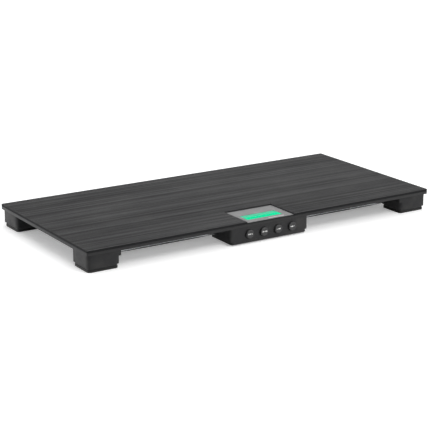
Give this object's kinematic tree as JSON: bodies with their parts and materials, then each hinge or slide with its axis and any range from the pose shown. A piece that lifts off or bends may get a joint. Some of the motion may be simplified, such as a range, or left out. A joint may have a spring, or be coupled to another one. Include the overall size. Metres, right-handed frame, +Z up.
{
  "type": "digital floor scale",
  "caption": "Low platform floor scale: ribbed rubber deck on load-cell feet, with a display and push buttons at the front edge.",
  "frame": {"origin": "on the floor, under the middle of the deck", "axes": "+X along the deck to its right-hand end, -Y out of the front edge, where the display and the buttons are, and +Z up"},
  "size_m": [1, 0.471, 0.056],
  "materials": {
    "deck_rubber": "fine-ribbed matt rubber",
    "deck_paint": "satin black powder coat",
    "rail_zinc": "bright zinc plate",
    "black_moulding": "fine-textured moulded ABS",
    "foot_plate_moulding": "moulded nylon",
    "foot_rubber": "matt moulded rubber",
    "load_cell_alloy": "machined",
    "black_screw": "black zinc",
    "cable_jacket": null,
    "button_cap": "semi-gloss moulded",
    "switch_metal": "tinned",
    "circuit_board": "green solder mask",
    "bezel_moulding": "light grey, fine texture",
    "lens_acrylic": "clear acrylic",
    "lcd_green": "backlit green",
    "light_guide": "white",
    "sounder_case": "moulded",
    "battery_sleeve": "plain printed sleeve",
    "contact_nickel": "nickel plate"
  },
  "bodies": {
    "root": {"backlight": "light_guide", "battery_1": "battery_sleeve", "battery_2": "battery_sleeve", "battery_3": "battery_sleeve", "battery_4": "battery_sleeve", "battery_contact_left": "contact_nickel", "battery_contact_right": "contact_nickel", "battery_holder": "black_moulding", "button_board": "circuit_board", "cell_bolt_front_left": "black_screw", "cell_bolt_front_right": "black_screw", "cell_bolt_rear_left": "black_screw", "cell_bolt_rear_right": "black_screw", "console_cover": "black_moulding", "console_housing": "black_moulding", "console_screw_1": "black_screw", "console_screw_2": "black_screw", "console_screw_3": "black_screw", "console_screw_4": "black_screw", "corner_block_front_left": "black_moulding", "corner_block_front_right": "black_moulding", "corner_block_rear_left": "black_moulding", "corner_block_rear_right": "black_moulding", "deck_mat": "deck_rubber", "deck_plate": "deck_paint", "display_bezel": "bezel_moulding", "display_lens": "lens_acrylic", "front_rail": "rail_zinc", "lcd_panel": "lcd_green", "left_rail": "rail_zinc", "load_cell_cable_front_left": "cable_jacket", "load_cell_cable_front_right": "cable_jacket", "load_cell_cable_rear_left": "cable_jacket", "load_cell_cable_rear_right": "cable_jacket", "load_cell_front_left": "load_cell_alloy", "load_cell_front_right": "load_cell_alloy", "load_cell_rear_left": "load_cell_alloy", "load_cell_rear_right": "load_cell_alloy", "main_board": "circuit_board", "rear_rail": "rail_zinc", "right_rail": "rail_zinc", "sounder": "sounder_case", "tact_switch_1": "switch_metal", "tact_switch_2": "switch_metal", "tact_switch_3": "switch_metal", "tact_switch_4": "switch_metal"},
    "foot_front_left": {"foot_plate_front_left": "foot_plate_moulding", "foot_pad_front_left": "foot_rubber"},
    "foot_front_right": {"foot_plate_front_right": "foot_plate_moulding", "foot_pad_front_right": "foot_rubber"},
    "foot_rear_left": {"foot_plate_rear_left": "foot_plate_moulding", "foot_pad_rear_left": "foot_rubber"},
    "foot_rear_right": {"foot_plate_rear_right": "foot_plate_moulding", "foot_pad_rear_right": "foot_rubber"},
    "button_1": {"button_1": "button_cap"},
    "button_2": {"button_2": "button_cap"},
    "button_3": {"button_3": "button_cap"},
    "button_4": {"button_4": "button_cap"},
    "battery_door": {"battery_door": "black_moulding"}
  },
  "joints": [
    {"name": "foot_front_left_travel", "type": "slide", "parent": "root", "child": "foot_front_left", "axis": [0, 0, 1], "range_m": [0, 0.00025], "stiffness_N_per_m": 20000, "springref_m": -0.004},
    {"name": "foot_front_right_travel", "type": "slide", "parent": "root", "child": "foot_front_right", "axis": [0, 0, 1], "range_m": [0, 0.00025], "stiffness_N_per_m": 20000, "springref_m": -0.004},
    {"name": "foot_rear_left_travel", "type": "slide", "parent": "root", "child": "foot_rear_left", "axis": [0, 0, 1], "range_m": [0, 0.00025], "stiffness_N_per_m": 20000, "springref_m": -0.004},
    {"name": "foot_rear_right_travel", "type": "slide", "parent": "root", "child": "foot_rear_right", "axis": [0, 0, 1], "range_m": [0, 0.00025], "stiffness_N_per_m": 20000, "springref_m": -0.004},
    {"name": "button_1_press", "type": "slide", "parent": "root", "child": "button_1", "axis": [0, 1, 0], "range_m": [0, 0.0008], "stiffness_N_per_m": 900, "springref_m": -0.0004},
    {"name": "button_2_press", "type": "slide", "parent": "root", "child": "button_2", "axis": [0, 1, 0], "range_m": [0, 0.0008], "stiffness_N_per_m": 900, "springref_m": -0.0004},
    {"name": "button_3_press", "type": "slide", "parent": "root", "child": "button_3", "axis": [0, 1, 0], "range_m": [0, 0.0008], "stiffness_N_per_m": 900, "springref_m": -0.0004},
    {"name": "button_4_press", "type": "slide", "parent": "root", "child": "button_4", "axis": [0, 1, 0], "range_m": [0, 0.0008], "stiffness_N_per_m": 900, "springref_m": -0.0004},
    {"name": "battery_door_slide", "type": "slide", "parent": "root", "child": "battery_door", "axis": [0, 1, 0], "range_m": [0, 0.034]}
  ]
}
